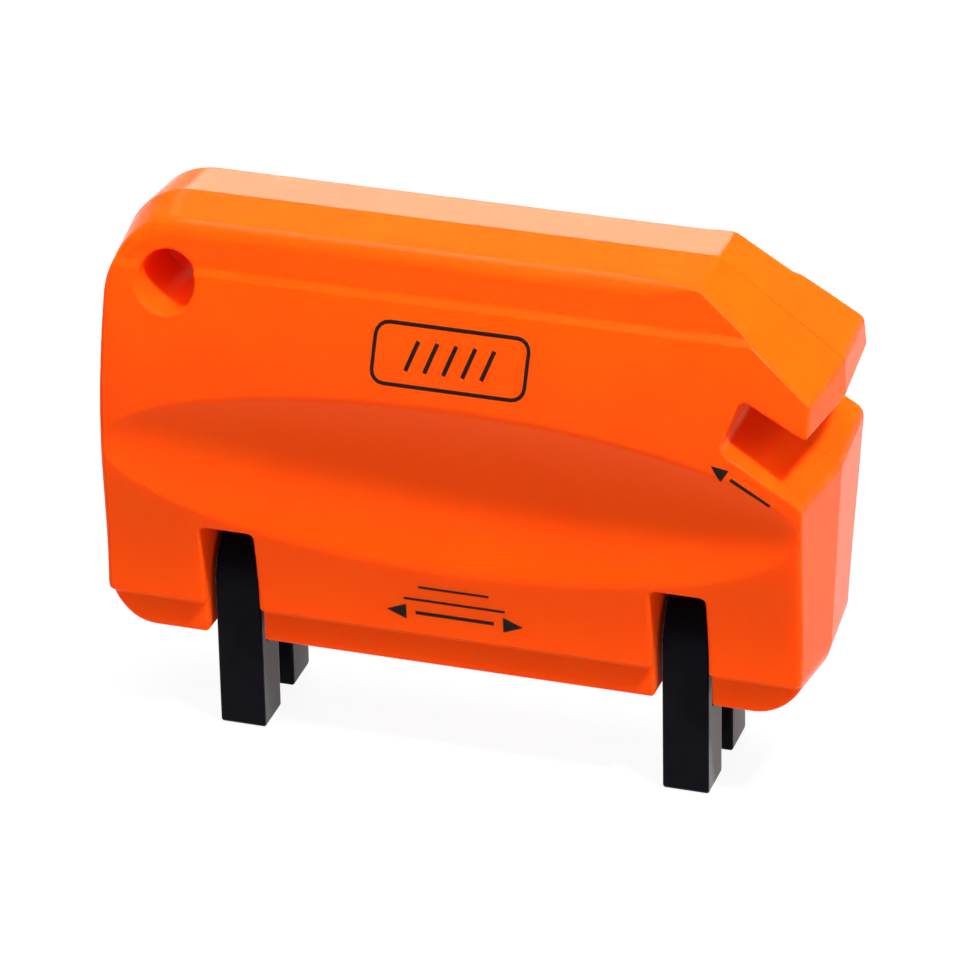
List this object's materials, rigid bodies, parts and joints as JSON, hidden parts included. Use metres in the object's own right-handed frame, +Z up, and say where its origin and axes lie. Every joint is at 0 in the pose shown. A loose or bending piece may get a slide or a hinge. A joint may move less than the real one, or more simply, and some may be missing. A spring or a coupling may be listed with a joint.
{
  "type": "reel mower blade sharpener",
  "caption": "Hand-held sharpener for reel mower blades: two plastic shells, tilting guide forks, a file between them and a slanted bed-knife notch.",
  "frame": {"origin": "on the standing plane under the feet of the guide forks, at the middle of the tool's length and on its parting plane", "axes": "+X along the tool towards the bed-knife notch, +Z up, front towards -Y, so the parting plane is y = 0"},
  "size_m": [0.14, 0.0416, 0.1056],
  "materials": {
    "housing_plastic": "satin",
    "fork_nylon": "fine grain",
    "steel": "zinc plated",
    "abrasive": "coarse grit"
  },
  "bodies": {
    "housing": {"front_shell": "housing_plastic", "rear_shell": "housing_plastic", "left_pivot_pin": "steel", "right_pivot_pin": "steel", "left_washer": "steel", "right_washer": "steel", "left_fork_spring": "steel", "right_fork_spring": "steel", "reel_file": "abrasive", "reel_file_holder": "fork_nylon", "left_file_rivet": "steel", "right_file_rivet": "steel", "bed_knife_file": "abrasive", "bed_knife_file_backing": "steel", "top_left_screw": "steel", "top_right_screw": "steel", "end_left_screw": "steel", "end_right_screw": "steel", "middle_screw": "steel"},
    "left_fork": {"left_guide_fork": "fork_nylon"},
    "right_fork": {"right_guide_fork": "fork_nylon"}
  },
  "joints": [
    {"name": "left_fork_tilt", "type": "hinge", "parent": "housing", "child": "left_fork", "pos_m": [-0.0438, 0, 0.0295], "axis": [1, 0, 0], "range_deg": [-10, 10], "stiffness_Nm_per_rad": 0.3},
    {"name": "right_fork_tilt", "type": "hinge", "parent": "housing", "child": "right_fork", "pos_m": [0.0434, 0, 0.0295], "axis": [1, 0, 0], "range_deg": [-10, 10], "stiffness_Nm_per_rad": 0.3}
  ]
}
